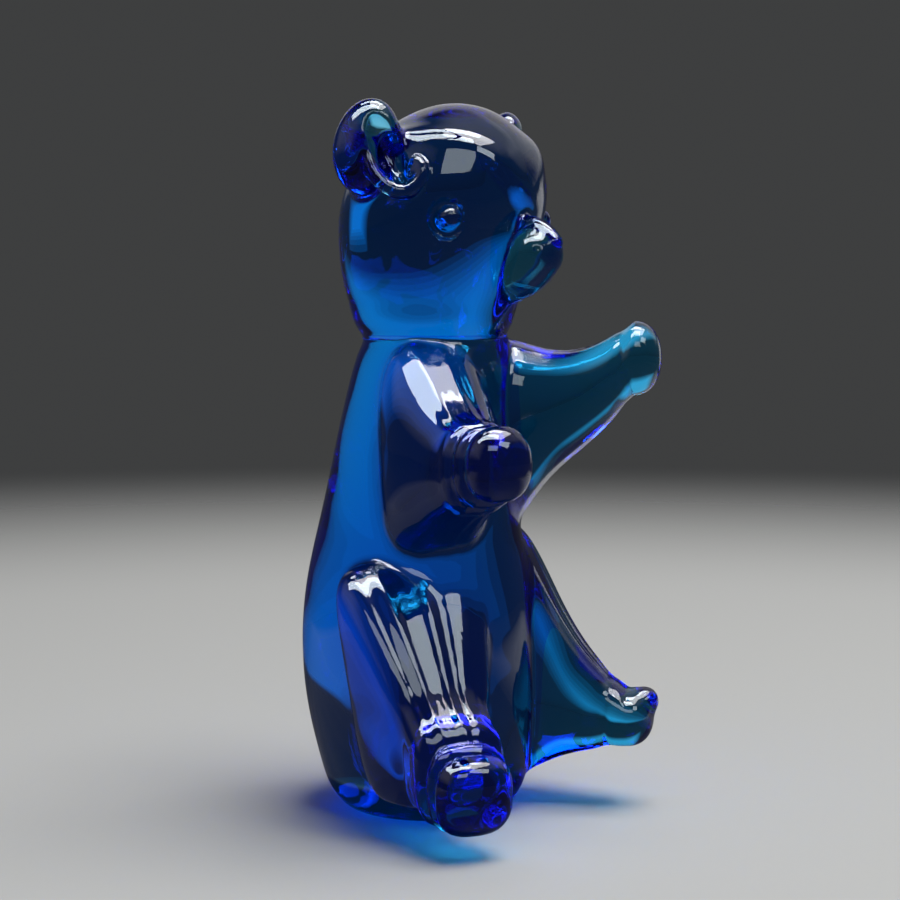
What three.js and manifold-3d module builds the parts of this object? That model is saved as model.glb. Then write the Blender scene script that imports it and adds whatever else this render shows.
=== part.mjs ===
// A seated bear cub in solid blue glass, arms and legs held out in front of it.
// Millimetres, +Z up. The cub looks along -Y, and its own right side is -X.
// The origin is on the table, under the middle of the figure's box.
//
// The figure is built the way a glass worker builds it: a pear-shaped body gather with a flat
// ground base, a head gather set on top, and then the ears, eyes, muzzle, arms and legs as
// bits of hot glass added one at a time. Each bit is its own solid, seated on its neighbour.

import * as THREE from 'three';
import { mergeVertices } from 'three/addons/utils/BufferGeometryUtils.js';
import Module from 'manifold-3d';

const wasm = await Module();
wasm.setup();

// ---------------------------------------------------------------- driving dimensions

const SEAT_GAP = 0.3; // clearance kept between a bit and what it is seated on
const AXIS_Y = 11.1; // the body stands this far behind the middle of the figure

// Upright gathers: [height, radius, how far the centre leans forward]
const TORSO_STATIONS = [
  [0, 17, 3],
  [2.5, 19.4, 3],
  [10, 22.4, 2.5],
  [23, 24.6, 1.5],
  [36, 25.2, 1],
  [48.5, 24.2, 1],
  [60, 21.8, 1],
  [72, 20, 2.2],
  [83, 18.7, 3.5],
  [92, 17.3, 4.5],
  [98.5, 16, 5],
  [102, 12.5, 5],
];
const TORSO_TOP = 103.5;
const HEAD_STATIONS = [
  [102, 15.8, 5],
  [108, 17.5, 5.2],
  [114, 19, 6],
  [120, 20.3, 6.8],
  [126, 21.2, 7.7],
  [131, 21.3, 8.5],
  [136.2, 19.8, 9.3],
  [140, 17.8, 9.8],
  [143.6, 14.6, 10.2],
  [146.7, 10, 10.6],
  [148.8, 5, 11],
];
const HEAD_TOP = 149.5;

// Limbs: [sideways from the middle, forward of the body axis, height, half width, half height]
// of upright sections, from the hidden root to the last full one before the round tip.
// The left arm is raised and the right arm is held level; the feet stay clear of the table.
const LEFT_ARM = [
  [6, 4, 80.5, 8, 14],
  [11.5, 14, 79.5, 11, 20.5],
  [15.5, 23.5, 84.2, 9.6, 14],
  [19.3, 32.5, 89.2, 7.6, 10],
  [23, 40.8, 96.6, 6.5, 7.8],
];
const RIGHT_ARM = [
  [6, 4, 78, 8, 15],
  [11.5, 14, 78, 11, 22],
  [15.5, 23.5, 76.5, 9.8, 14.5],
  [19.3, 32.5, 76, 7.6, 8.8],
  [22.6, 39.5, 77.4, 6.6, 7.2],
];
const LEFT_LEG = [
  [9, 4, 34, 9, 18],
  [17.5, 13.5, 32.5, 13.8, 26.5],
  [21.5, 22.5, 26.2, 11.5, 17],
  [24.4, 30, 21.6, 9, 10],
  [26.8, 37.2, 19, 7.2, 6.2],
];
const RIGHT_LEG = [
  [9, 4, 32, 9, 18],
  [17.5, 13.5, 31, 13.8, 25],
  [21.5, 22.5, 23.5, 11.5, 17],
  [24.4, 30, 18.2, 9, 10.6],
  [26.6, 36.5, 14.6, 7.4, 7.2],
];
const LIMB_TIP = 5.6; // how far a paw or foot rounds off past its last section
const THIGH_CROWN = 0.5; // how much wider a leg is along its top than at mid height

// The muzzle, a teardrop pulled up and forward from under the chin:
// [forward of the body axis, height, radius]
const MUZZLE_STATIONS = [
  [24.5, 109, 1.6],
  [27.6, 112.2, 3.8],
  [30.6, 116, 5.4],
  [32.2, 118.4, 5.9],
];
const MUZZLE_TIP = 5.4;

// Ears: cupped discs on the upper sides of the head
const EAR = { side: 23, forward: 7, height: 139.2, halfWidth: 7.4, halfHeight: 9.8 };
const EAR_THICKNESS = 6.4;
const EAR_TURN = THREE.MathUtils.degToRad(30); // the cup looks this far out from straight ahead
const EAR_LEAN = THREE.MathUtils.degToRad(12); // its top leans this far outward
const EAR_CUP = { halfWidth: 4.7, halfHeight: 7, depth: 3.6 };

// Eyes: round dots seated on the cheeks
const EYE = { side: 15.6, forward: 22, height: 125.6, radius: 2.7, flatness: 0.8 };
const EYE_TURN = THREE.MathUtils.degToRad(48); // each eye looks this far out from straight ahead

const GATHER_RINGS = 20; // rings of facets up the body and the head
const LOFT_RINGS = 12; // rings of facets along each pulled bit
const BODY_SIDES = 32;
const LIMB_SIDES = 20;
const SMALL_SIDES = 14;
const CAP_RINGS = 4; // rings of facets that round off the end of a loft

const GLASS_BLUE = 0x0b46b8;

// ---------------------------------------------------------------- solids

function toManifold(geometry) {
  geometry.deleteAttribute('normal');
  geometry.deleteAttribute('uv');
  const merged = mergeVertices(geometry, 1e-4);
  const vertProperties = new Float32Array(merged.attributes.position.array);
  const triVerts = new Uint32Array(merged.index.array);
  return new wasm.Manifold(new wasm.Mesh({ numProp: 3, vertProperties, triVerts }));
}

function toGeometry(manifold) {
  const mesh = manifold.getMesh();
  const geometry = new THREE.BufferGeometry();
  geometry.setAttribute('position', new THREE.BufferAttribute(mesh.vertProperties, 3));
  geometry.setIndex(new THREE.BufferAttribute(mesh.triVerts, 1));
  geometry.computeVertexNormals();
  return geometry;
}

function glassPiece(name, manifold) {
  const material = new THREE.MeshStandardMaterial({
    color: GLASS_BLUE, roughness: 0.03, metalness: 0, transparent: true, opacity: 0.75,
  });
  const mesh = new THREE.Mesh(toGeometry(manifold), material);
  mesh.name = name;
  return mesh;
}

// ---------------------------------------------------------------- upright gathers

function leanAt(stations, z) {
  const next = stations.findIndex(([height]) => height > z);
  if (next === -1) {
    return stations[stations.length - 1][2];
  }
  const [z0, , lean0] = stations[Math.max(next - 1, 0)];
  const [z1, , lean1] = stations[next];
  return next === 0 ? lean1 : THREE.MathUtils.mapLinear(z, z0, z1, lean0, lean1);
}

// A round gather turned about an upright axis, with each height then leaned forward.
// grow makes the same gather larger all over, to cut its seat in a neighbour.
function gather(stations, top, grow = 0) {
  const outline = new THREE.SplineCurve(stations.map(([z, r]) => new THREE.Vector2(r, z)));
  const profile = outline.getPoints(GATHER_RINGS).map(({ x, y }) => new THREE.Vector2(x + grow, y));
  profile[0].y -= grow;
  profile.unshift(new THREE.Vector2(0, profile[0].y));
  profile.push(new THREE.Vector2(0, top + grow));
  const geometry = new THREE.LatheGeometry(profile, BODY_SIDES);
  geometry.rotateX(Math.PI / 2);
  const position = geometry.attributes.position;
  for (let i = 0; i < position.count; i += 1) {
    const forward = leanAt(stations, position.getZ(i));
    position.setY(i, position.getY(i) - forward + AXIS_Y);
  }
  return toManifold(geometry);
}

// ---------------------------------------------------------------- pulled bits

function reachOf(stations) {
  return stations[stations.length - 1].centre.clone().sub(stations[0].centre).normalize();
}

// A tapering bit pulled along a curve. Each station is a section { centre, halfWidth, halfHeight }
// in the plane of two unit vectors, out (its width) and up (its height). The last section rounds
// off towards reach over the length tip, and crown widens each section's upper half.
function pulledBit(stations, { reach, out, up, tip, sides, crown = 0, grow = 0 }) {
  const centres = new THREE.CatmullRomCurve3(stations.map((s) => s.centre));
  const sizes = new THREE.CatmullRomCurve3(
    stations.map((s) => new THREE.Vector3(s.halfWidth, s.halfHeight, 0)),
  );
  const profile = [new THREE.Vector2(0, 0)];
  for (let i = 0; i <= LOFT_RINGS; i += 1) {
    profile.push(new THREE.Vector2(1, i / LOFT_RINGS));
  }
  for (let i = 1; i < CAP_RINGS; i += 1) {
    const angle = (i / CAP_RINGS) * (Math.PI / 2);
    profile.push(new THREE.Vector2(Math.cos(angle), 1 + Math.sin(angle)));
  }
  profile.push(new THREE.Vector2(0, 2));
  const geometry = new THREE.LatheGeometry(profile, sides);
  const position = geometry.attributes.position;
  for (let i = 0; i < position.count; i += 1) {
    const along = Math.min(position.getY(i), 1);
    const pastEnd = Math.max(position.getY(i) - 1, 0) * (tip + grow);
    const size = sizes.getPoint(along);
    const height = position.getZ(i);
    const width = position.getX(i) * (1 + crown * height * (1 - along));
    const point = centres.getPoint(along);
    point.addScaledVector(out, width * (size.x + grow));
    point.addScaledVector(up, height * (size.y + grow));
    point.addScaledVector(reach, pastEnd);
    position.setXYZ(i, point.x, point.y, point.z);
  }
  return toManifold(geometry);
}

// A limb on one side of the body: sign is +1 for the cub's left and -1 for its right.
function limb(table, sign, { crown = 0, grow = 0 } = {}) {
  const stations = table.map(([sideways, forward, height, halfWidth, halfHeight]) => ({
    centre: new THREE.Vector3(sign * sideways, AXIS_Y - forward, height),
    halfWidth,
    halfHeight,
  }));
  const up = new THREE.Vector3(0, 0, 1);
  const reach = reachOf(stations);
  const out = new THREE.Vector3().crossVectors(reach, up).normalize();
  return pulledBit(stations, { reach, out, up, tip: LIMB_TIP, sides: LIMB_SIDES, crown, grow });
}

function muzzle() {
  const stations = MUZZLE_STATIONS.map(([forward, height, radius]) => ({
    centre: new THREE.Vector3(0, AXIS_Y - forward, height),
    halfWidth: radius,
    halfHeight: radius,
  }));
  const reach = reachOf(stations);
  const out = new THREE.Vector3(-1, 0, 0);
  const up = new THREE.Vector3().crossVectors(out, reach).normalize();
  return pulledBit(stations, { reach, out, up, tip: MUZZLE_TIP, sides: SMALL_SIDES });
}

// ---------------------------------------------------------------- ears and eyes

function ellipsoid(x, y, z, widthSides, heightRings) {
  const geometry = new THREE.SphereGeometry(1, widthSides, heightRings);
  geometry.scale(x, y, z);
  return geometry;
}

// An ear is a thick disc standing on edge, with a hollow pressed into its front.
function ear(sign) {
  const disc = ellipsoid(EAR.halfWidth, EAR_THICKNESS / 2, EAR.halfHeight, 20, 12);
  const cup = ellipsoid(EAR_CUP.halfWidth, EAR_CUP.depth, EAR_CUP.halfHeight, 16, 10);
  cup.translate(0, -EAR_THICKNESS / 2 - 0.6, 0);
  for (const geometry of [disc, cup]) {
    geometry.rotateY(sign * EAR_LEAN);
    geometry.rotateZ(sign * EAR_TURN);
    geometry.translate(sign * EAR.side, AXIS_Y - EAR.forward, EAR.height);
  }
  return toManifold(disc).subtract(toManifold(cup));
}

function eye(sign) {
  const dot = ellipsoid(EYE.radius, EYE.radius * EYE.flatness, EYE.radius, 12, 8);
  dot.rotateZ(sign * EYE_TURN);
  dot.translate(sign * EYE.side, AXIS_Y - EYE.forward, EYE.height);
  return toManifold(dot);
}

// ---------------------------------------------------------------- the figure

const torsoSeat = gather(TORSO_STATIONS, TORSO_TOP, SEAT_GAP);
const headSeat = gather(HEAD_STATIONS, HEAD_TOP, SEAT_GAP);

const figure = new THREE.Group();
figure.add(glassPiece('torso', gather(TORSO_STATIONS, TORSO_TOP)));
figure.add(glassPiece('head', gather(HEAD_STATIONS, HEAD_TOP).subtract(torsoSeat)));
figure.add(glassPiece('muzzle', muzzle().subtract(headSeat)));

for (const [name, sign, arm, leg] of [
  ['left', 1, LEFT_ARM, LEFT_LEG],
  ['right', -1, RIGHT_ARM, RIGHT_LEG],
]) {
  const thigh = { crown: THIGH_CROWN };
  const legSeat = limb(leg, sign, { ...thigh, grow: SEAT_GAP });
  figure.add(glassPiece(`leg_${name}`, limb(leg, sign, thigh).subtract(torsoSeat)));
  figure.add(glassPiece(
    `arm_${name}`,
    limb(arm, sign).subtract(torsoSeat).subtract(legSeat),
  ));
  figure.add(glassPiece(`ear_${name}`, ear(sign).subtract(headSeat)));
  figure.add(glassPiece(`eye_${name}`, eye(sign).subtract(headSeat)));
}

export default figure;
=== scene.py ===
# %% [markdown]
# # A bear cub in solid blue glass
#
# A glass worker makes this figure hot, from the inside out: a pear-shaped gather for the body,
# a round gather on top for the head, and then bits of hot glass that are stuck on and pulled
# into arms, legs, ears and a muzzle. Nothing is hollow. While the glass is soft the joins melt
# together, so the finished cub looks like one liquid shape, although it is eleven pieces.
#
# This notebook builds it in the same order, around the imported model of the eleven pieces.

# %% Load the frame
import math

import bpy
import numpy as np
from mathutils import Matrix, Vector


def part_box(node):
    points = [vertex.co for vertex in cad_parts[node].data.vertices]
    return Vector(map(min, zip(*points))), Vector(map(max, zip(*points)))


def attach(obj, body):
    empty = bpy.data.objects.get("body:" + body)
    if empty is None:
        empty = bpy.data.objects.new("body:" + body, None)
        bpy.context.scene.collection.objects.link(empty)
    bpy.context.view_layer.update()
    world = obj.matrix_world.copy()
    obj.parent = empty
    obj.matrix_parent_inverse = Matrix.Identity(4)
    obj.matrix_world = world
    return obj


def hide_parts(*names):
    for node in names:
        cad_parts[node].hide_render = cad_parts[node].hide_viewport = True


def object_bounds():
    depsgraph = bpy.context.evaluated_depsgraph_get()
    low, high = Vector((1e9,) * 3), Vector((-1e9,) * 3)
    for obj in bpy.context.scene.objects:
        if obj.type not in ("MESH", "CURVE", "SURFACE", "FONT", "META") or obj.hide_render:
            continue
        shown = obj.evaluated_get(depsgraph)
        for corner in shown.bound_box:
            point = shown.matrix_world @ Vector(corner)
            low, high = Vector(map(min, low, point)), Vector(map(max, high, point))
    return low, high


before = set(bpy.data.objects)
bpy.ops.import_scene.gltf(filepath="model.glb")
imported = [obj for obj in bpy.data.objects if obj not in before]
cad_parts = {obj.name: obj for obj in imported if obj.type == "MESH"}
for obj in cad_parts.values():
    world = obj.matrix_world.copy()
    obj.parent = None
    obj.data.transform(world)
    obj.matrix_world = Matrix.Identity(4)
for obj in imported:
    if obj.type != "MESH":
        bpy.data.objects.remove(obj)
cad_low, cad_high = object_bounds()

MM = 0.001  # lengths below are in millimetres, and Blender's unit is the metre
torso_low, torso_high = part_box("torso")
AXIS_Y = (torso_low.y + torso_high.y) / 2 / MM + 1.0  # the body axis, which the torso leans off
print("packed nodes:", len(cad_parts), " body axis at y =", round(AXIS_Y, 2), "mm")

# %% [markdown]
# ## Describing soft glass with a distance
#
# Hot glass has no sharp inside corners: where two bits touch, surface tension draws a fillet.
# Meshes are poor at that, so each bit is first written as a formula that tells how far any
# point is from its surface: negative inside, zero on the skin, positive outside. Two such
# distances can be melted together with a soft minimum, and a tool mark is a soft maximum.
# numpy works these out for many thousand points at a time.

# %% Smooth curves, melting and pressing
def spline(table):
    """Natural cubic spline: the first column says where along the bit, the others what."""
    rows = np.array(table, dtype=float)
    at, rows = rows[:, 0], rows[:, 1:]
    gap = np.diff(at)
    system, pull = np.eye(len(at)), np.zeros_like(rows)
    for i in range(1, len(at) - 1):
        system[i, i - 1:i + 2] = gap[i - 1], 2 * (gap[i - 1] + gap[i]), gap[i]
        rise, fall = (rows[i + 1] - rows[i]) / gap[i], (rows[i] - rows[i - 1]) / gap[i - 1]
        pull[i] = 6 * (rise - fall)
    bend = np.linalg.solve(system, pull)

    def value(t):
        t = np.clip(t, at[0], at[-1])
        i = np.clip(np.searchsorted(at, t) - 1, 0, len(gap) - 1)
        h, a, b = gap[i][:, None], (at[i + 1] - t)[:, None], (t - at[i])[:, None]
        line = (rows[i] * a + rows[i + 1] * b) / h
        curl = bend[i] * (a ** 3 / h - h * a) + bend[i + 1] * (b ** 3 / h - h * b)
        return (line + curl / 6).T

    return value


def melt(a, b, fillet):
    """Both bits joined, with a fillet of about this size in the corner between them."""
    near = np.maximum(fillet - np.abs(a - b), 0) / fillet
    return np.minimum(a, b) - near ** 3 * fillet / 6


def press(a, tool, round_over):
    """The first shape with the tool's shape pressed out of it, the edge rounded over."""
    return -melt(-a, tool, round_over)


def ellipsoid(u, v, w, a, b, c):
    """Distance to an ellipsoid of half axes a, b, c at the origin of u, v, w."""
    size = np.sqrt((u / a) ** 2 + (v / b) ** 2 + (w / c) ** 2)
    steep = np.sqrt((u / a ** 2) ** 2 + (v / b ** 2) ** 2 + (w / c ** 2) ** 2)
    return size * (size - 1) / np.maximum(steep, 1e-6)


print("melt of 0.0 and 0.0 with a 3 mm fillet:", melt(np.zeros(1), np.zeros(1), 3.0))

# %% [markdown]
# ## The two gathers
#
# The body is a pear and the head a ball, both turned on the iron, so each is round about an
# axis. The tables say how thick each is at each height, and how far it leans forward. The
# square of the radius is what gets interpolated: it runs straight through zero at the crown,
# so the top closes as roundly as a drop does, with no pimple.

# %% Body and head
# [height, radius, how far the centre leans forward]
TORSO = [
    [-4, 13.0, 3.2], [0, 17, 3], [2.5, 19.4, 3], [10, 22.4, 2.5], [23, 24.6, 1.5],
    [36, 25.2, 1], [48.5, 24.2, 1], [60, 21.8, 1], [72, 20, 2.2], [83, 18.7, 3.5],
    [92, 17.3, 4.5], [98.5, 15.6, 5], [102, 13.6, 5], [106, 10, 5.2],
]
HEAD = [
    [96, 8.0, 5], [99, 12.6, 5], [102, 15.6, 5], [108, 17.9, 5.0], [114, 19.7, 5.5],
    [120, 20.9, 6.3], [126, 21.6, 7.3], [131, 21.3, 8.3], [136.2, 19.8, 9.3],
    [140, 17.8, 9.8], [143.6, 14.6, 10.2], [146.7, 10.2, 10.6], [148.8, 5.2, 11],
]
HEAD_TOP = 149.5


def gather(table, top=None):
    """A round gather from its table: squared radius and lean, each a spline of the height."""
    rows = [[z, r * r, lean] for z, r, lean in table]
    if top is not None:
        last = rows[-1]
        rows.append([top, 0.0, last[2]])
        drop = (rows[-1][1] - last[1]) / (top - last[0])
        rows.append([top + 4, 4 * drop, last[2]])
    curve = spline(rows)

    def distance(p):
        z = p[:, 2]
        squared, lean = curve(z)
        step = 0.05
        change = (curve(z + step)[0] - squared) / step
        y = p[:, 1] - (AXIS_Y - lean)
        across = p[:, 0] ** 2 + y ** 2
        past = np.maximum(z - rows[-1][0], rows[0][0] - z)
        skin = (across - squared) / np.sqrt(4 * across + change ** 2 + 1.0)
        return np.maximum(skin, past)

    return distance


torso_gather, head_gather = gather(TORSO), gather(HEAD, HEAD_TOP)
probe = np.array([[0.0, AXIS_Y - 1, 40.0], [0.0, AXIS_Y - 8, 126.0]])
print("half thickness at belly and cheeks:", -torso_gather(probe)[0], -head_gather(probe)[1])

# %% [markdown]
# ## Bits pulled out of the body
#
# An arm starts as a blob pressed on the side of the body. The maker grips it with pincers and
# pulls: wide and tall at the shoulder, thin at the wrist, with a round end where the glass was
# snipped. Each limb is a line of upright oval sections. The left arm is raised, the right one is
# held level, and both feet stop clear of the table.

# %% Arms, legs and muzzle
# [sideways from the middle, forward of the body axis, height, half width, half height]
LIMBS = {
    "arm_left": [[6, 4, 80.5, 8, 14], [11.5, 14, 79.5, 11, 20.5], [15.5, 23.5, 84.2, 9.6, 14],
                 [19.3, 32.5, 89.2, 7.6, 10], [23, 40.8, 96.6, 6.5, 7.8]],
    "arm_right": [[6, 4, 78, 8, 15], [11.5, 14, 78, 11, 22], [15.5, 23.5, 76.5, 9.8, 14.5],
                  [19.3, 32.5, 76, 7.6, 8.8], [22.6, 39.5, 77.4, 6.6, 7.2]],
    "leg_left": [[9, 4, 34, 9, 18], [17.5, 13.5, 32.5, 13.8, 26.5], [21.5, 22.5, 26.2, 11.5, 17],
                 [24.4, 30, 21.6, 9, 10], [26.8, 37.2, 19, 7.2, 6.2]],
    "leg_right": [[9, 4, 32, 9, 18], [17.5, 13.5, 30.5, 13.8, 23.6], [21.5, 22.5, 23.5, 11.5, 17],
                  [24.4, 30, 17.0, 9, 10.6], [26.6, 36.5, 12.6, 8.0, 7.8]],
}
LIMB_TIP = 5.6    # how far a paw or foot rounds off past its last section
ROOT_END = 6.0    # how far a bit rounds off behind its first section
# square: how boxy a section is at the root and at the tip (2 is an oval, 6 nearly a box)
# crown: how much wider the top is than the middle at the root; ridges: height of the pull marks
# rings: [how far along, half length, how much the glass swells or narrows there]
LIMB_SHAPE = {
    "arm_left": {"square": (2.8, 2.2), "ridges": 0.12, "rings": [[38.5, 1.3, -0.35]]},
    "arm_right": {"square": (3.6, 2.3), "ridges": 0.1,
                  "rings": [[31.0, 1.2, 0.3], [33.2, 0.9, -0.6], [35.3, 1.0, 0.35],
                            [37.4, 0.8, -0.8], [41.0, 2.2, 0.4]]},
    "leg_left": {"square": (3.4, 2.2), "crown": 0.35, "ridges": 0.15,
                 "rings": [[33.5, 2.0, -0.5]]},
    "leg_right": {"square": (6.0, 2.7), "crown": 0.4, "ridges": 0.24,
                  "rings": [[27.0, 2.0, -0.5], [32.6, 1.5, 0.9], [34.6, 0.6, -0.7],
                            [35.8, 0.7, 0.5], [37.1, 0.5, -0.6], [38.4, 0.7, 0.3]]},
}
# [sideways, forward, height, half width, half height] for the teardrop under the nose
MUZZLE = [[0, 24.5, 109, 1.6, 1.6], [0, 27.6, 112.2, 3.8, 3.8],
          [0, 30.6, 116, 5.1, 5.1], [0, 32.2, 118.4, 5.5, 5.5]]
MUZZLE_TIP = 5.1
# the pull marks are two sets of waves across a limb: [share of the height, how many, shift]
PULL_MARKS = [[1.0, 14.0, 0.6], [0.5, 23.0, 2.0]]
MARKS_START, MARKS_STOP = 9, 2  # they begin this far out and end this far before the last section


def unit(v):
    v = np.asarray(v, dtype=float)
    return v / np.linalg.norm(v)


def pulled_bit(sections, sign, tip, level, square=(2, 2), crown=0.0, ridges=0.0, rings=()):
    """A bit pulled along a line. level keeps its sections upright, as for the limbs."""
    points = np.array([[sign * s, AXIS_Y - f, h] for s, f, h, _, _ in sections])
    sizes = np.array([[a, b] for *_, a, b in sections], dtype=float)
    reach = points[-1] - points[0]
    reach = unit(reach * [1, 1, 0] if level else reach)
    out = unit(np.cross(reach, [0, 0, 1]))
    up = np.cross(out, reach)
    local = (points - points[0]) @ np.array([reach, out, up]).T
    curve = spline(np.column_stack([local, sizes]))
    length = local[-1, 0]

    def distance(p):
        q = p - points[0]
        along = q @ reach
        side, rise, half_w, half_h = curve(along)
        u, v = q @ out - side, q @ up - rise
        part = np.clip(along / length, 0, 1)
        for spot, half, swell in rings:
            grown = swell * np.exp(-((along - spot) / half) ** 2)
            half_w, half_h = half_w + grown, half_h + grown
        if crown:
            half_w = half_w * (1 + crown * np.clip(v / half_h, -1, 1) * (1 - part))
        if ridges:
            marked = (along - MARKS_START) / (length - MARKS_START - MARKS_STOP)
            fade = np.sin(np.pi * np.clip(marked, 0, 1)) ** 0.6
            x = u / half_w
            marks = sum(share * np.cos(many * x + shift) for share, many, shift in PULL_MARKS)
            half_h = half_h + ridges * fade * marks
        past = np.maximum(along - length, 0) / tip + np.maximum(-along, 0) / ROOT_END
        n = square[0] + (square[1] - square[0]) * part
        a, b = np.abs(u) / half_w + 1e-9, np.abs(v) / half_h + 1e-9
        size = (a ** n + b ** n + past ** n) ** (1 / n)
        steep = np.sqrt((a ** (n - 1) / half_w) ** 2 + (b ** (n - 1) / half_h) ** 2
                        + (past ** (n - 1) / tip) ** 2) * size ** (1 - n)
        return (size - 1) / np.maximum(steep, 1e-3)

    distance.length = length
    distance.low = points.min(0) - sizes.max() - tip - 3
    distance.high = points.max(0) + sizes.max() + tip + 3
    return distance


bits = {}
for name, table in LIMBS.items():
    sign = 1 if name.endswith("left") else -1
    bits[name] = pulled_bit(table, sign, LIMB_TIP, level=True, **LIMB_SHAPE[name])
bits["muzzle"] = pulled_bit(MUZZLE, 1, MUZZLE_TIP, level=False)
print("reach of each pulled bit:", {n: round(float(b.length), 1) for n, b in bits.items()})

# %% [markdown]
# ## Ears and eyes
#
# An ear is a small bit flattened with a paddle, then hollowed with a rod and curled, so it has
# a thick rim and a fold that runs down to a little lip on the cheek. An eye is a dot of glass
# dropped on the cheek, with a ring pressed round it.

# %% Ears and eyes
EAR = {"side": 23.0, "forward": 6.5, "height": 139.9}
EAR_TURN = math.radians(50)  # the flat of the ear looks this far out from straight ahead
FLAP = (6.7, 4.6, 9.4)       # its half width, half thickness and half height
FLAP_LEAN = 0.12             # how far it leans ahead for each millimetre of height
EAR_ROOT = {"behind": 0.6, "into": 3.6, "below": 4.0, "half": (4.4, 4.4, 6.0), "fillet": 4.0}
HOLLOW = {"ahead": 4.3, "up": -1.2, "out": 3.4, "half": (3.1, 5.4, 7.6), "tilt": math.radians(24)}
# [sideways, forward, height, thickness] along the rolled lip, from the fold to the cheek
LIP = [[24.2, 3.9, 145.0, 1.0], [25.0, 5.8, 143.0, 1.2], [25.5, 7.6, 139.8, 1.3],
       [25.4, 9.4, 136.1, 1.4], [24.9, 10.6, 133.7, 1.5], [23.9, 11.9, 131.9, 1.55],
       [22.7, 13.2, 130.9, 1.6], [21.4, 14.6, 130.5, 1.6], [20.3, 15.9, 131.0, 1.6],
       [19.4, 17.0, 132.2, 1.5], [18.8, 17.6, 133.8, 1.4], [18.6, 17.3, 135.5, 1.3],
       [18.7, 16.2, 136.6, 1.2]]
BUTTON = [18.7, 15.9, 134.6]  # the lip ends in a little curl beside the brow
BUTTON_SIZE, NOSTRIL_SIZE, TOE_SIZE = 1.7, 1.5, 2.7  # radius of each of these drops
BROW = [[15.6, 7.5, 139.5, 3.0], [13.9, 13.0, 139.8, 3.3], [10.6, 19.2, 139.2, 3.4],
        [6.3, 23.8, 136.6, 3.3], [1.5, 26.2, 131.0, 2.8]]
NOSE_RIDGE = [[0, 27.0, 124.0, 1.6], [0, 30.5, 124.2, 1.7], [0, 34.0, 122.9, 1.7],
              [0, 36.6, 120.6, 1.6]]
NOSTRIL = [5.4, 36.2, 119.4]  # a small pressed mark on each side of the nose
TOE = [28.6, 40.6, 22.8]      # the left foot's toe is flicked up
EYE = {"side": 15.5, "forward": 22, "height": 125.5}
EYE_TURN = math.radians(48)
EYE_DOT = (2.2, 1.9, 2.2)     # half width, half thickness and half height of the dot
RING = {"radius": 3.1, "thick": 1.05, "shift": 0.3, "slant": 0.26}  # the mark round the eye


def own_axes(sign, spot, turn):
    """Middle and axes (ahead, into the head, up) of something set on one side of the head."""
    middle = np.array([sign * spot["side"], AXIS_Y - spot["forward"], spot["height"]])
    c, s = math.cos(turn), math.sin(turn)
    return middle, np.array([[-sign * c, -s, 0], [-sign * s, c, 0], [0, 0, 1]])


FAR = 50.0  # the distance taken for a bit that is nowhere near


def roll(table, sign, pieces=40):
    """A rounded roll of glass along a line of [sideways, forward, height, thickness]."""
    rows = np.array([[sign * s, AXIS_Y - f, h, r] for s, f, h, r in table])
    run = np.concatenate([[0], np.cumsum(np.linalg.norm(np.diff(rows[:, :3], axis=0), axis=1))])
    line = spline(np.column_stack([run, rows]))(np.linspace(0, run[-1], pieces + 1)).T

    def distance(p):
        best = np.full(len(p), FAR)
        for a, b in zip(line[:-1], line[1:]):
            ab = b[:3] - a[:3]
            t = np.clip((p - a[:3]) @ ab / (ab @ ab), 0, 1)[:, None]
            gap = np.linalg.norm(p - a[:3] - t * ab, axis=1) - a[3] - t[:, 0] * (b[3] - a[3])
            best = np.minimum(best, gap)
        return best

    distance.low = line[:, :3].min(0) - line[:, 3].max() - 5
    distance.high = line[:, :3].max(0) + line[:, 3].max() + 5
    return distance


def ear(sign):
    """The ear's flap, and the hollow that is pressed into it."""
    middle, axes = own_axes(sign, EAR, EAR_TURN)
    c, s = math.cos(HOLLOW["tilt"]), math.sin(HOLLOW["tilt"])

    def flap(p):
        ahead, inward, up = axes @ (p - middle).T
        root = ellipsoid(ahead + EAR_ROOT["behind"], inward - EAR_ROOT["into"],
                         up + EAR_ROOT["below"], *EAR_ROOT["half"])
        flat = ellipsoid(ahead - FLAP_LEAN * up, inward, up, *FLAP)
        return melt(flat, root, EAR_ROOT["fillet"])

    def hollow(p):
        ahead, inward, up = axes @ (p - middle).T
        ahead, up = ahead - HOLLOW["ahead"], up - HOLLOW["up"]
        return ellipsoid(c * ahead + s * up, inward + HOLLOW["out"], c * up - s * ahead,
                         *HOLLOW["half"])

    flap.low = hollow.low = middle - 16
    flap.high = hollow.high = middle + 16
    return flap, hollow


def drop(sign, spot, radius):
    """A small round drop of glass at [sideways, forward, height]."""
    middle = np.array([sign * spot[0], AXIS_Y - spot[1], spot[2]])

    def distance(p):
        return np.linalg.norm(p - middle, axis=1) - radius

    distance.low, distance.high = middle - radius - 4, middle + radius + 4
    return distance


def eye(sign):
    """The dot of the eye, and the ring that is pressed round it."""
    middle, axes = own_axes(sign, EYE, EYE_TURN)

    def dot(p):
        u, v, w = axes @ (p - middle).T
        return ellipsoid(u, v, w, *EYE_DOT)

    def ring(p):
        u, v, w = axes @ (p - middle).T
        across = np.hypot(u + RING["shift"], w + RING["shift"]) - RING["radius"]
        return np.hypot(across, v + RING["slant"] * (u + w)) - RING["thick"]

    dot.low = ring.low = middle - 6
    dot.high = ring.high = middle + 6
    return dot, ring


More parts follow.
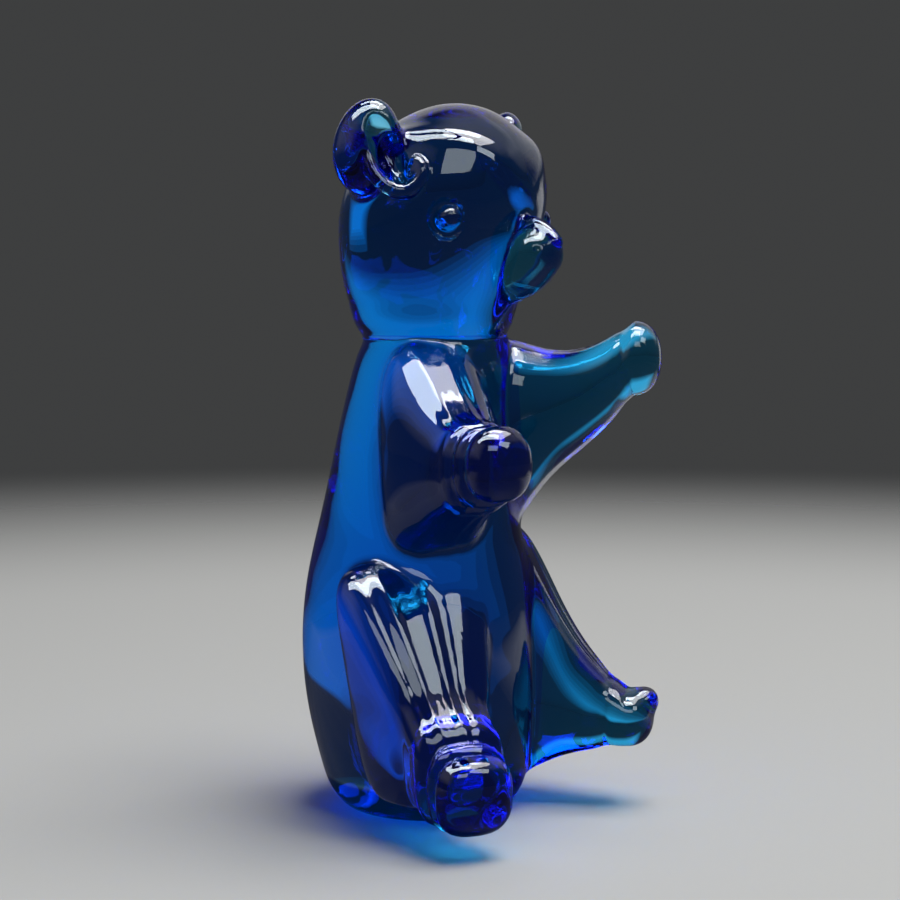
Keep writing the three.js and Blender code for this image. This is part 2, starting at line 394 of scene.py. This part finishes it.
for side, sign in (("left", 1), ("right", -1)):
    bits["ear_" + side], bits["hollow_" + side] = ear(sign)
    bits["lip_" + side] = roll(LIP, sign)
    bits["button_" + side] = drop(sign, BUTTON, BUTTON_SIZE)
    bits["brow_" + side] = roll(BROW, sign)
    bits["eye_" + side], bits["ring_" + side] = eye(sign)
    bits["nostril_" + side] = drop(sign, NOSTRIL, NOSTRIL_SIZE)
bits["toe"] = drop(1, TOE, TOE_SIZE)
bits["nose_ridge"] = roll(NOSE_RIDGE, 1)
print("bits so far:", sorted(bits))

# %% [markdown]
# ## The whole cub as one distance
#
# Each bit only matters near itself, so its formula is only worked out inside its own box. The
# order follows the bench: body, head and limbs, then on each side the brow, ear and eye with the
# marks pressed into them, and last the muzzle. Hot glass flows more into some corners than into
# others, so each bit has its own fillet.

# %% Melt it all together
NECK_FILLET, CHIN_FILLET, BASE_EDGE = 2.2, 2.6, 2.5
LIMB_FILLET = {"arm_left": 4.5, "arm_right": 3.0, "leg_left": 4.0, "leg_right": 2.6}
TOE_FILLET, NOSE_FILLET, NOSTRIL_EDGE = 3.2, 2.4, 0.5
# what is done on each side of the head, in this order: [bit, melted on or pressed in, fillet]
HEAD_WORK = [["brow", melt, 4.0], ["ear", melt, 5.0], ["hollow", press, 1.6],
             ["lip", melt, 1.0], ["button", melt, 0.9], ["ring", press, 0.7], ["eye", melt, 0.5]]


def near(bit, p):
    """A bit's distance inside its own box, and simply far outside it."""
    value = np.full(len(p), FAR)
    inside = np.all((p > bit.low) & (p < bit.high), axis=1)
    if inside.any():
        value[inside] = bit(p[inside])
    return value


def body_only(p):
    return press(torso_gather(p), p[:, 2], BASE_EDGE)  # the side on the table is ground flat


def whole_cub(p):
    glass = melt(body_only(p), head_gather(p), NECK_FILLET)
    for name, fillet in LIMB_FILLET.items():
        glass = melt(glass, near(bits[name], p), fillet)
    for side in ("left", "right"):
        for bit, work, fillet in HEAD_WORK:
            glass = work(glass, near(bits[f"{bit}_{side}"], p), fillet)
    glass = melt(glass, near(bits["toe"], p), TOE_FILLET)
    snout = melt(near(bits["muzzle"], p), near(bits["nose_ridge"], p), NOSE_FILLET)
    for side in ("left", "right"):
        snout = press(snout, near(bits["nostril_" + side], p), NOSTRIL_EDGE)
    return melt(glass, snout, CHIN_FILLET)


print("distance at the chest:", whole_cub(np.array([[0.0, AXIS_Y - 18.0, 90.0]])))

# %% [markdown]
# ## From a distance to a mesh
#
# The skin lies where the distance changes sign. Surface nets find it: fill a box with a grid,
# put one vertex in every cell that the skin crosses, and join the four cells round every grid
# edge that it crosses with a quad. Then every vertex slides down the slope of the distance
# until it lies on the skin exactly, which takes the stair steps of the grid away.

# %% Surface nets
def slope(distance, p, reach=0.04):
    """Which way the distance grows fastest at each point."""
    columns = [distance(p + reach * e) - distance(p - reach * e) for e in np.eye(3)]
    return np.stack(columns, axis=1) / (2 * reach)


LONGEST_SLIDE = 0.5   # how far a point may slide in one round, in millimetres
GENTLEST_SLOPE = 0.2  # a gentler slope than this (squared) would throw a point too far


def settle(distance, p, rounds=4):
    """Slides points along the slope until they lie on the skin."""
    for _ in range(rounds):
        g = slope(distance, p)
        step = distance(p) / np.maximum((g ** 2).sum(1), GENTLEST_SLOPE)
        p = p - np.clip(step, -LONGEST_SLIDE, LONGEST_SLIDE)[:, None] * g
    return p


def skin(distance, low, high, cell):
    """Vertices and quads of the skin inside a box, in millimetres."""
    axes = [np.arange(a, b + cell, cell) for a, b in zip(low, high)]
    shape = tuple(len(a) for a in axes)
    value = np.empty(shape)
    for i, x in enumerate(axes[0]):
        y, z = np.meshgrid(axes[1], axes[2], indexing="ij")
        sheet = np.stack([np.full(y.size, x), y.ravel(), z.ravel()], axis=1)
        value[i] = distance(sheet).reshape(y.shape)
    inside = value < 0
    count = sum(inside[i:shape[0] - 1 + i, j:shape[1] - 1 + j, k:shape[2] - 1 + k].astype(int)
                for i in (0, 1) for j in (0, 1) for k in (0, 1))
    crossed = (count > 0) & (count < 8)
    label = np.full(crossed.shape, -1)
    label[crossed] = np.arange(crossed.sum())
    points = np.argwhere(crossed) * cell + cell / 2 + [a[0] for a in axes]
    quads = []
    for a in range(3):
        b, c = (a + 1) % 3, (a + 2) % 3
        from_, to = [slice(None)] * 3, [slice(None)] * 3
        from_[a], to[a] = slice(None, -1), slice(1, None)
        first = inside[tuple(from_)]
        spot = np.argwhere(first != inside[tuple(to)])
        fits = (spot[:, b] > 0) & (spot[:, c] > 0)
        fits &= (spot[:, b] < shape[b] - 1) & (spot[:, c] < shape[c] - 1)
        spot = spot[fits]
        ring = []
        for down_b, down_c in ((0, 0), (1, 0), (1, 1), (0, 1)):
            cell_at = spot.copy()
            cell_at[:, b] -= down_b
            cell_at[:, c] -= down_c
            ring.append(label[tuple(cell_at.T)])
        ring = np.stack(ring, axis=1)
        outward = first[tuple(spot.T)]
        ring[~outward] = ring[~outward][:, ::-1]
        quads.append(ring)
    quads = np.concatenate(quads)
    return relax(distance, points, quads), quads


def relax(distance, points, quads, rounds=6):
    """Evens out the quads: each vertex moves to the middle of its neighbours, then settles."""
    ends = np.concatenate([quads[:, [i, (i + 1) % 4]] for i in range(4)])
    ends = np.concatenate([ends, ends[:, ::-1]])
    neighbours = np.bincount(ends[:, 0], minlength=len(points))[:, None]
    for _ in range(rounds):
        middle = np.stack([np.bincount(ends[:, 0], points[ends[:, 1], k], len(points))
                           for k in range(3)], axis=1) / neighbours
        points = settle(distance, middle, 1)
    return settle(distance, points)


def mesh_object(name, points, faces):
    """A Blender object from points in millimetres."""
    mesh = bpy.data.meshes.new(name)
    mesh.from_pydata((np.asarray(points) * MM).tolist(), [], [list(face) for face in faces])
    thing = bpy.data.objects.new(name, mesh)
    bpy.context.scene.collection.objects.link(thing)
    return thing


CELL = 0.75  # grid pitch of the finished skin
BOX_LOW, BOX_HIGH = np.array([-36.0, -38, -2]), np.array([36.0, 38, 152])
cub_points, cub_quads = skin(whole_cub, BOX_LOW, BOX_HIGH, CELL)
print("whole cub:", len(cub_points), "vertices,", len(cub_quads), "quads, from",
      cub_points.min(0).round(1), "to", cub_points.max(0).round(1), "mm")

# %% [markdown]
# ## Cutting the skin back into pieces
#
# The melted skin is right for the outside, but the cub is still separate bits, each a closed
# solid. So the whole is cut with slightly grown copies of the body and the head, which leaves
# every bit with a seat that fits its neighbour, a hair's breadth apart. The cutters carry
# a material of their own, in a second slot. The Boolean modifier hands each face the slot of
# the mesh it comes from, and so the seat faces can be told from the outer skin afterwards.

# %% Cutters
SEAT = 0.02   # how far apart two fused bits stand, in millimetres
BODY_GROW, HEAD_GROW = 1.0, 0.6
NECK = 101.8  # the body ends in the crease of the neck
NECK_EDGE = 1.0  # how much the rim of the body cutter is rounded over
HIP, HIP_TILT = 57.5, 0.086  # arms above this height, legs below; the left hip sits higher
BODY_BOX = [-30, -20, -8], [30, 42, 108]  # where the body's skin is looked for
HEAD_BOX = [-26, -26, 90], [26, 30, 156]
CUTTER_CELL = 1.5  # grid pitch of the cutters, which are smooth all over


def body_cutter(p):
    return press(torso_gather(p) - BODY_GROW, NECK - p[:, 2], NECK_EDGE)


def head_cutter(p):
    return head_gather(p) - HEAD_GROW


def cutter(name, distance, box, grow=0.0):
    """The closed skin of a distance inside a box, grown outwards by a little."""
    points, quads = skin(distance, *box, CUTTER_CELL)
    return mesh_object(name, points + grow * slope(distance, points), quads)


def cube_cutter(name, low, high):
    """A slab whose hip side is tilted, to part the arms from the legs."""
    corners = [[x, y, z + (HIP_TILT * x if abs(z - HIP) < 1 else 0)] for x in (low[0], high[0])
               for y in (low[1], high[1]) for z in (low[2], high[2])]
    faces = [(0, 1, 3, 2), (4, 6, 7, 5), (0, 4, 5, 1), (2, 3, 7, 6), (0, 2, 6, 4), (1, 5, 7, 3)]
    return mesh_object(name, corners, faces)


skin_mark = bpy.data.materials.new("outer skin mark")
seat_mark = bpy.data.materials.new("seat mark")


def cut(source, tool, how, name):
    """A new object: source cut by tool, with the seat faces still marked by their slot."""
    result = bpy.data.objects.new(name, source.data.copy())
    bpy.context.scene.collection.objects.link(result)
    knife = result.modifiers.new("cut", "BOOLEAN")
    knife.operation, knife.solver, knife.object = how, "MANIFOLD", tool
    if hasattr(knife, "material_mode"):
        knife.material_mode = "TRANSFER"
    graph = bpy.context.evaluated_depsgraph_get()
    mesh = bpy.data.meshes.new_from_object(result.evaluated_get(graph))
    result.modifiers.clear()
    result.data = mesh
    return result


whole = mesh_object("whole", cub_points, cub_quads)
whole.data.materials.append(skin_mark)
tools = {
    "body": cutter("body_cut", body_cutter, BODY_BOX),
    "body_grown": cutter("body_cut_grown", body_cutter, BODY_BOX, SEAT),
    "head": cutter("head_cut", head_cutter, HEAD_BOX),
    "head_grown": cutter("head_cut_grown", head_cutter, HEAD_BOX, SEAT),
    "upper": cube_cutter("above_hip", [-60, -60, HIP], [60, 60, 200]),
    "lower": cube_cutter("below_hip", [-60, -60, -60], [60, 60, HIP + SEAT]),
}
for tool in tools.values():
    tool.data.materials.append(seat_mark)

torso = cut(whole, tools["body"], "INTERSECT", "torso")
rest = cut(whole, tools["body_grown"], "DIFFERENCE", "rest")
head = cut(rest, tools["head"], "INTERSECT", "head")
added = cut(rest, tools["head_grown"], "DIFFERENCE", "added")
legs = cut(added, tools["upper"], "DIFFERENCE", "legs")
uppers = cut(added, tools["lower"], "DIFFERENCE", "uppers")

for thing in (torso, head, legs, uppers):
    seats = sum(face.material_index for face in thing.data.polygons)
    print(thing.name, "has", len(thing.data.polygons), "faces,", seats, "of them seats")

# %% [markdown]
# ## Sorting the cut glass into the eleven pieces
#
# What is left after each cut is a heap of loose parts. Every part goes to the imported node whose
# middle it is nearest to, and that node gets its finished piece.

# %% Loose parts
def loose_parts(thing):
    """The separate closed parts of a mesh: lists of face numbers."""
    mesh = thing.data
    owner = list(range(len(mesh.vertices)))

    def root(i):
        while owner[i] != i:
            owner[i] = owner[owner[i]]
            i = owner[i]
        return i

    for edge in mesh.edges:
        a, b = root(edge.vertices[0]), root(edge.vertices[1])
        if a != b:
            owner[a] = b
    parts = {}
    for face in mesh.polygons:
        parts.setdefault(root(face.vertices[0]), []).append(face.index)
    return sorted(parts.values(), key=len, reverse=True)


def middle_of(node):
    low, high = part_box(node)
    return np.array((low + high) / 2) / MM


node_middles = {name: middle_of(name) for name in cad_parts}
found = {name: [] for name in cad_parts}
SHARD = 20  # loose parts with no more faces than this are slivers of the cut, not glass
LEGS = ["leg_left", "leg_right"]
above_the_hip = [n for n in node_middles if n not in ("torso", "head", *LEGS)]
for source, allowed in ((torso, ["torso"]), (head, ["head"]), (legs, LEGS),
                        (uppers, above_the_hip)):
    mesh = source.data
    spots = np.array([v.co for v in mesh.vertices]) / MM
    for part in loose_parts(source):
        corners = sorted({v for f in part for v in mesh.polygons[f].vertices})
        middle = (spots[corners].min(0) + spots[corners].max(0)) / 2
        name = min(allowed, key=lambda n: np.linalg.norm(node_middles[n] - middle))
        if len(part) > SHARD:
            found[name].append((source, part))
print("faces of each piece:", {n: sum(len(p) for _, p in v) for n, v in found.items()})

# %% [markdown]
# ## Giving each piece its own mesh
#
# Glass shows every facet, twice: on the skin, and again through the body. So each corner of the
# outer skin gets the exact direction that the formula has there, instead of an average of flat
# faces. All faces stay smooth-shaded, and a sharp edge runs where the skin meets a seat.
#
# Each face also keeps a number called seam: 1 on a seat, 0 on the skin. The material reads it.

# %% Finished pieces
def finished_piece(name, source, faces):
    """One closed piece from these faces of the cut skin, with its seam numbers and normals."""
    mesh = source.data
    spots = np.array([v.co for v in mesh.vertices]) / MM
    loops = [list(mesh.polygons[f].vertices) for f in faces]
    seam = np.array([mesh.polygons[f].material_index for f in faces], dtype=float)
    used = sorted({v for loop in loops for v in loop})
    renumber = {v: i for i, v in enumerate(used)}
    points = spots[used]
    loops = [[renumber[v] for v in loop] for loop in loops]
    thing = mesh_object("glass_" + name, points, loops)
    made = thing.data
    made.attributes.new("seam", "FLOAT", "FACE").data.foreach_set("value", seam)
    skin_side, seat_side = np.zeros(len(points), bool), np.zeros(len(points), bool)
    for loop, is_seat in zip(loops, seam):
        (seat_side if is_seat else skin_side)[loop] = True
    border = skin_side & seat_side
    for edge in made.edges:
        a, b = edge.vertices
        edge.use_edge_sharp = bool(border[a] and border[b])
    smooth = slope(whole_cub, points)
    smooth /= np.maximum(np.linalg.norm(smooth, axis=1), 1e-6)[:, None]
    flat = np.zeros((len(points), 3))
    for face, is_seat in zip(made.polygons, seam):
        if is_seat:
            flat[list(face.vertices)] += np.array(face.normal) * face.area
    flat /= np.maximum(np.linalg.norm(flat, axis=1), 1e-12)[:, None]
    made.shade_smooth()
    corners = [(flat if is_seat else smooth)[v] for loop, is_seat in zip(loops, seam)
               for v in loop]
    made.normals_split_custom_set(corners)
    return thing


pieces = {}
for name, parts in found.items():
    source = parts[0][0]
    pieces[name] = finished_piece(name, source, [f for _, part in parts for f in part])
    low = np.array([min(v.co[k] for v in pieces[name].data.vertices) for k in range(3)]) / MM
    high = np.array([max(v.co[k] for v in pieces[name].data.vertices) for k in range(3)]) / MM
    print(f"{name}: {len(pieces[name].data.polygons)} faces, {low.round(1)} to {high.round(1)} mm")
for thing in [whole, torso, rest, head, added, legs, uppers, *tools.values()]:
    bpy.data.objects.remove(thing)

# %% [markdown]
# ## Cobalt-tinted glass
#
# The colour of this glass isn't on its surface. Light loses its red and most of its green on
# the way through, so a thin edge is cyan, a thumb's breadth is azure and the whole belly is navy.
# Volume Absorption does exactly that, with one colour and one density for the whole cub. The
# Base Color adds a first tint of blue where light goes in and out.
#
# The skin is fire-polished: very smooth, with slow waves left by the tools and a few dull
# finger marks. A node group makes both from the position on the piece, so the glass stays the
# same from every side.

# %% The fire-polished skin
def new_group(name, inputs, outputs):
    """A node group with these number inputs and outputs, and its two end nodes."""
    group = bpy.data.node_groups.new(name, "ShaderNodeTree")
    for label, default in inputs:
        socket = group.interface.new_socket(label, in_out="INPUT", socket_type="NodeSocketFloat")
        socket.default_value = default
    for label in outputs:
        group.interface.new_socket(label, in_out="OUTPUT", socket_type="NodeSocketFloat")
    return group, group.nodes.new("NodeGroupInput"), group.nodes.new("NodeGroupOutput")


def math_node(tree, operation, a, b):
    """The result of a Math node on two values, each a number or a socket."""
    node = tree.nodes.new("ShaderNodeMath")
    node.operation = operation
    for socket, value in zip(node.inputs, (a, b)):
        if isinstance(value, (int, float)):
            socket.default_value = value
        else:
            tree.links.new(value, socket)
    return node.outputs[0]


polish, wanted, gives = new_group(
    "Fire polish", [("Wave size", 12.0), ("Smear size", 40.0), ("Dullness", 0.02), ("Seam", 0.0)],
    ["Roughness", "Height"])
place = polish.nodes.new("ShaderNodeTexCoord").outputs["Object"]


def noise(tree, scale, detail, where):
    node = tree.nodes.new("ShaderNodeTexNoise")
    node.inputs["Detail"].default_value = detail
    tree.links.new(scale, node.inputs["Scale"])
    tree.links.new(where, node.inputs["Vector"])
    return node.outputs["Fac"]


waves = noise(polish, wanted.outputs["Wave size"], 1.0, place)
smears = noise(polish, wanted.outputs["Smear size"], 4.0, place)
above = math_node(polish, "SUBTRACT", smears, 0.5)
dull = math_node(polish, "MAXIMUM", above, 0.0)
dull = math_node(polish, "MULTIPLY", dull, wanted.outputs["Dullness"])
skin_part = math_node(polish, "SUBTRACT", 1.0, wanted.outputs["Seam"])
polish.links.new(math_node(polish, "MULTIPLY", dull, skin_part), gives.inputs["Roughness"])
polish.links.new(math_node(polish, "MULTIPLY", waves, skin_part), gives.inputs["Height"])
print("node group:", polish.name, [item.name for item in polish.interface.items_tree])

# %% [markdown]
# The seats are the one place where a computer model and real glass disagree. Two fused bits have
# no air between them, but two meshes do, and the gap would shine like a mirror. So the material
# gives seat faces the index of air, 1.0, and light crosses them straight.

# %% The glass material
GLASS_INDEX, AIR_INDEX = 1.5, 1.0  # soda glass on the skin, air on the seats
SURFACE_TINT = (0.4, 0.8, 1.0, 1.0)
DEPTH_TINT = (0.0, 0.8, 0.962, 1.0)  # red is lost fastest, then green, and blue hardly at all
DEPTH_DENSITY = 200.0  # per metre
WAVE_HEIGHT = 0.00035  # height of the tool waves, in metres
POLISH = {"Wave size": 55.0, "Smear size": 160.0, "Dullness": 0.12}


def blue_glass():
    """The one material of all eleven pieces."""
    material = bpy.data.materials.new("cobalt blue glass")
    material.use_nodes = True
    tree = material.node_tree
    shader, output = tree.nodes["Principled BSDF"], tree.nodes["Material Output"]
    shader.inputs["Base Color"].default_value = SURFACE_TINT
    shader.inputs["Transmission Weight"].default_value = 1.0
    shader.inputs["IOR"].default_value = GLASS_INDEX
    seam = tree.nodes.new("ShaderNodeAttribute")
    seam.attribute_name = "seam"
    index = tree.nodes.new("ShaderNodeMapRange")
    index.inputs["To Min"].default_value = GLASS_INDEX
    index.inputs["To Max"].default_value = AIR_INDEX
    tree.links.new(seam.outputs["Fac"], index.inputs["Value"])
    tree.links.new(index.outputs["Result"], shader.inputs["IOR"])
    skin_finish = tree.nodes.new("ShaderNodeGroup")
    skin_finish.node_tree = polish
    for label, value in POLISH.items():
        skin_finish.inputs[label].default_value = value
    tree.links.new(seam.outputs["Fac"], skin_finish.inputs["Seam"])
    tree.links.new(skin_finish.outputs["Roughness"], shader.inputs["Roughness"])
    bump = tree.nodes.new("ShaderNodeBump")
    bump.inputs["Strength"].default_value = 1.0
    bump.inputs["Distance"].default_value = WAVE_HEIGHT
    tree.links.new(skin_finish.outputs["Height"], bump.inputs["Height"])
    tree.links.new(bump.outputs["Normal"], shader.inputs["Normal"])
    tint = tree.nodes.new("ShaderNodeVolumeAbsorption")
    tint.inputs["Color"].default_value = DEPTH_TINT
    tint.inputs["Density"].default_value = DEPTH_DENSITY
    tree.links.new(tint.outputs["Volume"], output.inputs["Volume"])
    return material


glass = blue_glass()
for name, piece in pieces.items():
    piece.data.materials.append(glass)
    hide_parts(name)
    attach(piece, "root")
print("pieces in", glass.name + ":", len(pieces))

# %% [markdown]
# ## The table
#
# Glass has no look of its own: it shows what stands round it. The table is a plain pale disc
# that fades into the dim room towards its edge, so that no hard line crosses the picture. It is
# pale only where the camera looks at it directly. For all other rays, such as those that have
# gone through the glass, it counts as dark, which keeps the thick parts of the cub deep blue.

# %% The table
middle = (cad_low + cad_high) / 2
height = cad_high.z - cad_low.z
TABLE_RADIUS, TABLE_GAP = 1.0, 0.0002  # metres; the gap keeps it from touching the base
TABLE_SEEN, TABLE_IN_GLASS = (0.5, 0.5, 0.49, 1), (0.05, 0.05, 0.05, 1)
FADE_FROM, FADE_TO = 0.3, 0.8  # how far from the middle the table fades away
TABLE_ROUGHNESS = 0.5


def disc(name, radius, z, sides=96):
    """A flat round face at this height."""
    turns = [2 * math.pi * i / sides for i in range(sides)]
    rim = [(radius * math.cos(turn), radius * math.sin(turn), z) for turn in turns]
    mesh = bpy.data.meshes.new(name)
    mesh.from_pydata(rim, [], [list(range(sides))])
    thing = bpy.data.objects.new(name, mesh)
    bpy.context.scene.collection.objects.link(thing)
    return thing


def matt_table():
    """Pale to the camera and dark inside the glass, fading into the dim room."""
    material = bpy.data.materials.new("pale table")
    material.use_nodes = True
    tree = material.node_tree
    shader, output = tree.nodes["Principled BSDF"], tree.nodes["Material Output"]
    place = tree.nodes.new("ShaderNodeTexCoord")
    reach = tree.nodes.new("ShaderNodeVectorMath")
    reach.operation = "LENGTH"
    tree.links.new(place.outputs["Object"], reach.inputs[0])
    fade = tree.nodes.new("ShaderNodeMapRange")
    fade.interpolation_type = "SMOOTHSTEP"
    fade.inputs["From Min"].default_value = FADE_FROM
    fade.inputs["From Max"].default_value = FADE_TO
    tree.links.new(reach.outputs["Value"], fade.inputs["Value"])
    seen = tree.nodes.new("ShaderNodeLightPath").outputs["Is Camera Ray"]
    tone = tree.nodes.new("ShaderNodeMix")
    tone.data_type = "RGBA"
    tone.inputs[6].default_value = TABLE_IN_GLASS
    tone.inputs[7].default_value = TABLE_SEEN
    tree.links.new(seen, tone.inputs[0])
    tree.links.new(tone.outputs[2], shader.inputs["Base Color"])
    fading = math_node(tree, "MULTIPLY", fade.outputs["Result"], seen)
    shader.inputs["Roughness"].default_value = TABLE_ROUGHNESS
    clear = tree.nodes.new("ShaderNodeBsdfTransparent")
    blend = tree.nodes.new("ShaderNodeMixShader")
    tree.links.new(fading, blend.inputs["Fac"])
    tree.links.new(shader.outputs["BSDF"], blend.inputs[1])
    tree.links.new(clear.outputs["BSDF"], blend.inputs[2])
    tree.links.new(blend.outputs["Shader"], output.inputs["Surface"])
    return material


table = disc("table", TABLE_RADIUS, cad_low.z - TABLE_GAP)
table.data.materials.append(matt_table())
print("table:", TABLE_RADIUS, "m in radius; the cub on it is", round(height / MM, 1), "mm tall")

# %% [markdown]
# ## The lights
#
# No light is seen directly. Two long bars and two panels hang over the cub and shine on the glass
# alone. The bars give the white highlights on the head and the shoulder, the side panel those on
# the face and the thigh, and the front panel those on the feet. One more lamp, high up, lights
# the table and everything on it.

# %% The lights
VIEW_TURN = math.radians(-50.0)  # the side the cub is looked at from
TOWARD = Vector((math.sin(VIEW_TURN), -math.cos(VIEW_TURN), 0))
ACROSS = Vector((math.cos(VIEW_TURN), math.sin(VIEW_TURN), 0))
PANEL_COLOUR = (0.82, 0.95, 1.0)
# over the cub: name, metres across, toward and above, then length and depth, then brightness
PANELS = [
    ["near bar", -0.14, 0.24, 0.70, (0.90, 0.26), 15.0],
    ["far bar", 0.0, -0.10, 0.72, (0.60, 0.16), 12.0],
    ["side panel", 0.50, 0.46, 0.58, (0.32, 0.26), 7.0],
    ["front panel", 0.10, 0.66, 0.44, (0.40, 0.20), 4.0],
]


def soft_box(name, place, aim, size, power, shines_in=None):
    """A rectangle of light the camera can't see, for everything or for one collection."""
    light = bpy.data.lights.new(name, "AREA")
    light.shape, light.size, light.size_y = "RECTANGLE", size[0], size[1]
    light.energy = power
    lamp = bpy.data.objects.new(name, light)
    lamp.location = place
    lamp.rotation_euler = (Vector(aim) - Vector(place)).to_track_quat("-Z", "Y").to_euler()
    bpy.context.scene.collection.objects.link(lamp)
    lamp.visible_camera = False
    if shines_in is not None:
        lamp.light_linking.receiver_collection = shines_in
    return lamp


def power_for(radiance, wide, deep):
    """The power in watts that makes a box of this size this bright."""
    return radiance * math.pi * wide * deep


def around(azimuth, elevation, distance):
    """A point round the middle of the cub: 0 is in front of it, 90 on its left."""
    a, e = math.radians(azimuth), math.radians(elevation)
    return middle + distance * Vector(
        (math.sin(a) * math.cos(e), -math.cos(a) * math.cos(e), math.sin(e)))


def piece_set(name, wanted):
    """A collection of the pieces that some lights shine on."""
    collection = bpy.data.collections.new(name)
    for piece_name, piece in pieces.items():
        if wanted(piece_name):
            collection.objects.link(piece)
    return collection


def ceiling_panel(name, across, toward, up, size, radiance):
    """A flat panel over the glass, its long side across the view, tilted to face the cub."""
    place = middle + ACROSS * across + TOWARD * toward + Vector((0, 0, up))
    lamp = soft_box(name, place, middle, size, power_for(radiance, *size), all_pieces)
    facing = (place - middle).normalized()
    side = (ACROSS - facing * ACROSS.dot(facing)).normalized()
    lamp.rotation_euler = Matrix((side, facing.cross(side), facing)).transposed().to_euler()
    lamp.data.color = PANEL_COLOUR


all_pieces = piece_set("cub pieces", lambda name: True)
for panel in PANELS:
    ceiling_panel(*panel)
soft_box("table lamp", around(30, 75, 1.2), middle, (0.8, 0.8), 18.0)
print("panels over the cub:", len(PANELS), " and one lamp for the table")

# %% [markdown]
# The room round the table is almost dark. It has one soft patch of light, high up.

# %% The dim room
ROOM_COLOUR = (0.96, 0.985, 1.0, 1)
ROOM_LIGHT = 0.05   # brightness of the walls
PATCH_HEART = 0.45  # share of the patch that is evenly bright, before it fades


def dim_room(azimuth, elevation, half_angle, strength):
    """A dark studio with one soft-edged patch of light in it."""
    world = bpy.data.worlds.new("dim room")
    world.use_nodes = True
    tree = world.node_tree
    aim = tree.nodes.new("ShaderNodeVectorMath")
    aim.operation = "DOT_PRODUCT"
    aim.inputs[1].default_value = (around(azimuth, elevation, 1.0) - middle)[:]
    sky = tree.nodes.new("ShaderNodeTexCoord").outputs["Generated"]
    tree.links.new(sky, aim.inputs[0])
    patch = tree.nodes.new("ShaderNodeMapRange")
    patch.interpolation_type = "SMOOTHSTEP"
    patch.inputs["From Min"].default_value = math.cos(math.radians(half_angle))
    patch.inputs["From Max"].default_value = math.cos(math.radians(half_angle * PATCH_HEART))
    patch.inputs["To Max"].default_value = strength
    tree.links.new(aim.outputs["Value"], patch.inputs["Value"])
    background = tree.nodes["Background"]
    background.inputs["Color"].default_value = ROOM_COLOUR
    total = math_node(tree, "ADD", patch.outputs["Result"], ROOM_LIGHT)
    tree.links.new(total, background.inputs["Strength"])
    return world


bpy.context.scene.world = dim_room(azimuth=60, elevation=68, half_angle=40, strength=0.5)
print("world:", bpy.context.scene.world.name)

# %% [markdown]
# ## The glows in the glass
#
# Thick glass shows what stands behind it. So two cards of light lie just over the table beside
# the cub, and three more stand higher up, half a metre or so away. Each shines into some of the
# pieces only. They fill the belly and the jaw with azure. A card has no hard edge, since it is
# a stack of boxes of light, each smaller and a hair further back than the one before.

# %% The glows in the glass
GLOW_HEART = 0.45   # size of the smallest box, as a share of the whole card
GLOW_STEP = 0.0004  # metres between the boxes, as boxes in one place aren't added up
TABLE_GLOW_HEIGHT, TABLE_GLOW_REACH = 0.008, 0.25  # just over the table, beside the cub


def glow(name, place, aim, size, radiance, shines_in, steps=6):
    """A soft-edged card of light: boxes stacked one inside the other."""
    back = (Vector(place) - Vector(aim)).normalized()
    for step, share in enumerate(np.linspace(1.0, GLOW_HEART, steps), 1):
        wide, deep = size[0] * float(share), size[1] * float(share)
        soft_box(f"{name} {step}", place + GLOW_STEP * step * back, aim, (wide, deep),
                 power_for(radiance / steps, wide, deep), shines_in)


head_and_limbs = piece_set("head and limbs", lambda name: name not in ("torso", "muzzle"))
body_and_limbs = piece_set(
    "body and limbs", lambda name: name.split("_")[0] in ("torso", "arm", "leg"))
for side, azimuth, radiance in (("far", 85, 0.7), ("near", 232, 0.3)):
    spot = Vector((0, 0, TABLE_GLOW_HEIGHT))
    spot += TABLE_GLOW_REACH * (around(azimuth, 0, 1.0) - middle)
    glow(side + " table glow", spot, spot + Vector((0, 0, 1)), (0.40, 0.34), radiance,
         body_and_limbs, 10)
glow("jaw glow", around(112, 37, 0.56), middle, (1.3, 0.46), 0.95, head_and_limbs, 12)
glow("nape glow", around(89, 4, 0.45), middle, (0.15, 0.14), 0.8, head_and_limbs)
glow("cheek glow", around(240, 30, 0.56), middle, (0.9, 0.5), 0.5, head_and_limbs)

# %% [markdown]
# ## The camera
#
# The camera stands ahead of the cub and on its right, level with the jaw, and looks slightly
# down. It is close, so the near arm and leg come out larger than the far ones. Light crosses
# many skins in this cub, so its paths get more bounces than usual.

# %% The camera
CAMERA_REACH = 0.428  # metres from the body axis
CAMERA_HEIGHT = 0.76  # as a share of the cub's height
LOOK_AT = Vector((0.0048, 0.0054, 0.0765))

camera_data = bpy.data.cameras.new("camera")
camera_data.lens, camera_data.sensor_width = 80.0, 36.0
camera_data.clip_start, camera_data.clip_end = 0.01, 20
camera = bpy.data.objects.new("camera", camera_data)
axis = Vector((0.0, AXIS_Y * MM, 0.0))
camera.location = axis + CAMERA_REACH * TOWARD + Vector((0, 0, CAMERA_HEIGHT * height))
camera.rotation_euler = (LOOK_AT - camera.location).to_track_quat("-Z", "Y").to_euler()
bpy.context.scene.collection.objects.link(camera)
bpy.context.scene.camera = camera

scene = bpy.context.scene
scene.view_settings.view_transform = "Standard"
scene.cycles.max_bounces = 32
scene.cycles.transmission_bounces = 32
scene.cycles.glossy_bounces = 12
print("camera at", [round(v, 3) for v in camera.location], "m, lens", camera_data.lens, "mm")
